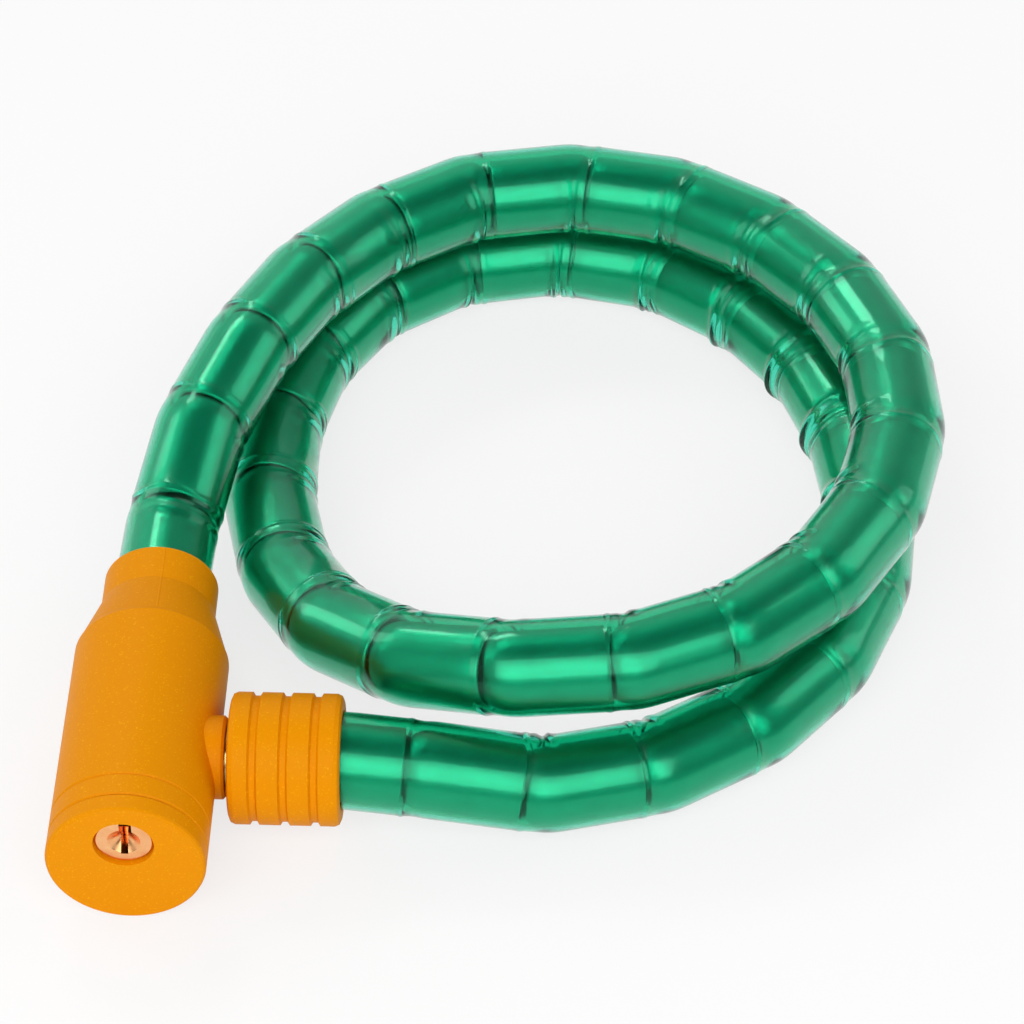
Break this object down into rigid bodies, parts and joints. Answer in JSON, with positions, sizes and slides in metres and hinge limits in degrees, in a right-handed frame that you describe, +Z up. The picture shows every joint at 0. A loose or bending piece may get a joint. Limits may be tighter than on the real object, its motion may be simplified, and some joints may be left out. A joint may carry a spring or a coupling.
{
  "type": "armoured cable lock",
  "caption": "Key-operated bicycle cable lock: domed steel armour links in a clear green sleeve, coiled, its end pin plugged into a round orange lock body.",
  "frame": {"origin": "middle of the footprint, on the surface that the coil and the lock body lie on", "axes": "+Z up, +Y along the lock body from its key face to its neck, +X the way the lock pin pulls out"},
  "size_m": [0.2011, 0.2282, 0.0453],
  "materials": {
    "orange_plastic": "moulded, fine matte texture",
    "green_pvc": "clear tinted extruded PVC, glossy",
    "armour_steel": "bright zinc-plated pressed steel",
    "hard_steel": "ground hardened steel",
    "plated_pin": "bright nickel plate",
    "zinc_casting": "zinc alloy die casting, as cast",
    "brass": "turned brass",
    "spring_wire": "drawn spring wire",
    "wire_rope": "galvanised strand"
  },
  "bodies": {
    "lock": {"body_cover": "orange_plastic", "end_cap": "orange_plastic", "lock_core": "zinc_casting", "socket_bush": "hard_steel", "cylinder_shell": "brass", "cylinder_pin": "hard_steel", "spring_cover": "hard_steel", "driver_pins": "brass", "tumbler_springs": "spring_wire", "cable_anchor": "hard_steel", "anchor_pin": "hard_steel"},
    "key_plug": {"plug": "brass", "plug_clip": "hard_steel", "drive_pin": "hard_steel", "key_pins": "brass"},
    "latch": {"latch_plate": "hard_steel"},
    "end_fitting": {"lock_pin": "plated_pin", "end_ferrule": "hard_steel", "end_cover": "orange_plastic", "sleeve": "green_pvc", "inner_rope": "wire_rope"},
    "links_01_02": {"link_01": "armour_steel", "link_02": "armour_steel"},
    "links_03_04": {"link_03": "armour_steel", "link_04": "armour_steel"},
    "links_05_06": {"link_05": "armour_steel", "link_06": "armour_steel"},
    "links_07_08": {"link_07": "armour_steel", "link_08": "armour_steel"},
    "links_09_10": {"link_09": "armour_steel", "link_10": "armour_steel"},
    "links_11_12": {"link_11": "armour_steel", "link_12": "armour_steel"},
    "link_13": {"link_13": "armour_steel"},
    "link_14": {"link_14": "armour_steel"},
    "link_15": {"link_15": "armour_steel"},
    "link_16": {"link_16": "armour_steel"},
    "link_17": {"link_17": "armour_steel"},
    "link_18": {"link_18": "armour_steel"},
    "link_19": {"link_19": "armour_steel"},
    "links_37_38": {"link_37": "armour_steel", "link_38": "armour_steel"},
    "links_35_36": {"link_35": "armour_steel", "link_36": "armour_steel"},
    "links_33_34": {"link_33": "armour_steel", "link_34": "armour_steel"},
    "links_31_32": {"link_31": "armour_steel", "link_32": "armour_steel"},
    "links_29_30": {"link_29": "armour_steel", "link_30": "armour_steel"},
    "links_27_28": {"link_27": "armour_steel", "link_28": "armour_steel"},
    "link_26": {"link_26": "armour_steel"},
    "link_25": {"link_25": "armour_steel"},
    "link_24": {"link_24": "armour_steel"},
    "link_23": {"link_23": "armour_steel"},
    "link_22": {"link_22": "armour_steel"},
    "link_21": {"link_21": "armour_steel"},
    "link_20": {"link_20": "armour_steel"}
  },
  "joints": [
    {"name": "key_turn", "type": "hinge", "parent": "lock", "child": "key_plug", "pos_m": [-0.083, -0.1144, 0.0242], "axis": [0, 1, 0], "range_deg": [0, 90]},
    {"name": "latch_slide", "type": "slide", "parent": "lock", "child": "latch", "axis": [0, 0, -1], "range_m": [0, 0.00425]},
    {"name": "lock_pin_pull", "type": "slide", "parent": "lock", "child": "end_fitting", "axis": [1, 0, 0], "range_m": [0, 0.036], "deforming": ["sleeve", "inner_rope"]},
    {"name": "links_01_02_swing", "type": "hinge", "parent": "lock", "child": "links_01_02", "pos_m": [-0.083, -0.037, 0.0177], "axis": [0, 0, 1], "range_deg": [-1.46, 0]},
    {"name": "links_03_04_swing", "type": "hinge", "parent": "links_01_02", "child": "links_03_04", "pos_m": [-0.0771, 0.01405, 0.02771], "axis": [0, 0, 1], "range_deg": [-2.38, 0]},
    {"name": "links_05_06_swing", "type": "hinge", "parent": "links_03_04", "child": "links_05_06", "pos_m": [-0.05516, 0.06171, 0.03356], "axis": [0, 0, 1], "range_deg": [0, 1.78]},
    {"name": "links_07_08_swing", "type": "hinge", "parent": "links_05_06", "child": "links_07_08", "pos_m": [-0.01598, 0.09634, 0.0331], "axis": [0, 0, 1], "range_deg": [0, 4.05]},
    {"name": "links_09_10_swing", "type": "hinge", "parent": "links_07_08", "child": "links_09_10", "pos_m": [0.03596, 0.09648, 0.0331], "axis": [0, 0, 1], "range_deg": [0, 2.57]},
    {"name": "links_11_12_swing", "type": "hinge", "parent": "links_09_10", "child": "links_11_12", "pos_m": [0.07612, 0.06299, 0.0331], "axis": [0, 0, 1], "range_deg": [0, 1.08]},
    {"name": "link_13_swing", "type": "hinge", "parent": "links_11_12", "child": "link_13", "pos_m": [0.08925, 0.01248, 0.0331], "axis": [0, 0, 1], "range_deg": [-0.402, 0]},
    {"name": "link_14_swing", "type": "hinge", "parent": "link_13", "child": "link_14", "pos_m": [0.08348, -0.01332, 0.0331], "axis": [0, 0, 1], "range_deg": [-0.549, 0]},
    {"name": "link_15_swing", "type": "hinge", "parent": "link_14", "child": "link_15", "pos_m": [0.07028, -0.03626, 0.0331], "axis": [0, 0, 1], "range_deg": [-1.66, 0]},
    {"name": "link_16_swing", "type": "hinge", "parent": "link_15", "child": "link_16", "pos_m": [0.05078, -0.05416, 0.03318], "axis": [0, 0, 1], "range_deg": [-2.88, 0]},
    {"name": "link_17_swing", "type": "hinge", "parent": "link_16", "child": "link_17", "pos_m": [0.02665, -0.06488, 0.03314], "axis": [0, 0, 1], "range_deg": [-3.11, 0]},
    {"name": "link_18_swing", "type": "hinge", "parent": "link_17", "child": "link_18", "pos_m": [0.00039, -0.0665, 0.0317], "axis": [0, 0, 1], "range_deg": [-1.67, 0]},
    {"name": "link_19_swing", "type": "hinge", "parent": "link_18", "child": "link_19", "pos_m": [-0.02387, -0.05815, 0.02547], "axis": [0, 0, 1], "range_deg": [-0.621, 0]},
    {"name": "links_37_38_swing", "type": "hinge", "parent": "end_fitting", "child": "links_37_38", "pos_m": [-0.04484, -0.082, 0.0177], "axis": [0, 0, 1], "range_deg": [0, 1.3]},
    {"name": "links_35_36_swing", "type": "hinge", "parent": "links_37_38", "child": "links_35_36", "pos_m": [0.00772, -0.08318, 0.01174], "axis": [0, 0, 1], "range_deg": [0, 0.776]},
    {"name": "links_33_34_swing", "type": "hinge", "parent": "links_35_36", "child": "links_33_34", "pos_m": [0.05509, -0.06087, 0.0103], "axis": [0, 0, 1], "range_deg": [0, 0.402]},
    {"name": "links_31_32_swing", "type": "hinge", "parent": "links_33_34", "child": "links_31_32", "pos_m": [0.08145, -0.01576, 0.0103], "axis": [0, 0, 1], "range_deg": [-0.629, 0]},
    {"name": "links_29_30_swing", "type": "hinge", "parent": "links_31_32", "child": "links_29_30", "pos_m": [0.07962, 0.03678, 0.0103], "axis": [0, 0, 1], "range_deg": [-1.08, 0]},
    {"name": "links_27_28_swing", "type": "hinge", "parent": "links_29_30", "child": "links_27_28", "pos_m": [0.05407, 0.0825, 0.0103], "axis": [0, 0, 1], "range_deg": [-1.33, 0]},
    {"name": "link_26_swing", "type": "hinge", "parent": "links_27_28", "child": "link_26", "pos_m": [0.00639, 0.10255, 0.0103], "axis": [0, 0, 1], "range_deg": [-1.21, 0]},
    {"name": "link_25_swing", "type": "hinge", "parent": "link_26", "child": "link_25", "pos_m": [-0.0194, 0.09731, 0.0103], "axis": [0, 0, 1], "range_deg": [-1.01, 0]},
    {"name": "link_24_swing", "type": "hinge", "parent": "link_25", "child": "link_24", "pos_m": [-0.04106, 0.08219, 0.0103], "axis": [0, 0, 1], "range_deg": [-0.762, 0]},
    {"name": "link_23_swing", "type": "hinge", "parent": "link_24", "child": "link_23", "pos_m": [-0.05471, 0.05965, 0.0103], "axis": [0, 0, 1], "range_deg": [-0.513, 0]},
    {"name": "link_22_swing", "type": "hinge", "parent": "link_23", "child": "link_22", "pos_m": [-0.06089, 0.03388, 0.0103], "axis": [0, 0, 1], "range_deg": [-0.402, 0]},
    {"name": "link_21_swing", "type": "hinge", "parent": "link_22", "child": "link_21", "pos_m": [-0.06066, 0.00738, 0.0103], "axis": [0, 0, 1], "range_deg": [-0.402, 0]},
    {"name": "link_20_swing", "type": "hinge", "parent": "link_21", "child": "link_20", "pos_m": [-0.05499, -0.01838, 0.0128], "axis": [0, 0, 1], "range_deg": [-0.402, 0]}
  ],
  "couplings": [
    {"joint": "latch_slide", "follows": "key_turn", "m_per_rad": 0.002701},
    {"joint": "links_01_02_swing", "follows": "lock_pin_pull", "rad_per_m": -0.70848},
    {"joint": "links_03_04_swing", "follows": "lock_pin_pull", "rad_per_m": -1.1521},
    {"joint": "links_05_06_swing", "follows": "lock_pin_pull", "rad_per_m": 0.86317},
    {"joint": "links_07_08_swing", "follows": "lock_pin_pull", "rad_per_m": 1.9612},
    {"joint": "links_09_10_swing", "follows": "lock_pin_pull", "rad_per_m": 1.2445},
    {"joint": "links_11_12_swing", "follows": "lock_pin_pull", "rad_per_m": 0.52186},
    {"joint": "link_13_swing", "follows": "lock_pin_pull", "rad_per_m": -0.19393},
    {"joint": "link_14_swing", "follows": "lock_pin_pull", "rad_per_m": -0.26532},
    {"joint": "link_15_swing", "follows": "lock_pin_pull", "rad_per_m": -0.80277},
    {"joint": "link_16_swing", "follows": "lock_pin_pull", "rad_per_m": -1.3964},
    {"joint": "link_17_swing", "follows": "lock_pin_pull", "rad_per_m": -1.5089},
    {"joint": "link_18_swing", "follows": "lock_pin_pull", "rad_per_m": -0.80736},
    {"joint": "link_19_swing", "follows": "lock_pin_pull", "rad_per_m": -0.30018},
    {"joint": "links_37_38_swing", "follows": "lock_pin_pull", "rad_per_m": 0.62989},
    {"joint": "links_35_36_swing", "follows": "lock_pin_pull", "rad_per_m": 0.37546},
    {"joint": "links_33_34_swing", "follows": "lock_pin_pull", "rad_per_m": 0.19393},
    {"joint": "links_31_32_swing", "follows": "lock_pin_pull", "rad_per_m": -0.30406},
    {"joint": "links_29_30_swing", "follows": "lock_pin_pull", "rad_per_m": -0.5221},
    {"joint": "links_27_28_swing", "follows": "lock_pin_pull", "rad_per_m": -0.64278},
    {"joint": "link_26_swing", "follows": "lock_pin_pull", "rad_per_m": -0.58768},
    {"joint": "link_25_swing", "follows": "lock_pin_pull", "rad_per_m": -0.4891},
    {"joint": "link_24_swing", "follows": "lock_pin_pull", "rad_per_m": -0.36853},
    {"joint": "link_23_swing", "follows": "lock_pin_pull", "rad_per_m": -0.24797},
    {"joint": "link_22_swing", "follows": "lock_pin_pull", "rad_per_m": -0.19393},
    {"joint": "link_21_swing", "follows": "lock_pin_pull", "rad_per_m": -0.19393},
    {"joint": "link_20_swing", "follows": "lock_pin_pull", "rad_per_m": -0.19393}
  ]
}
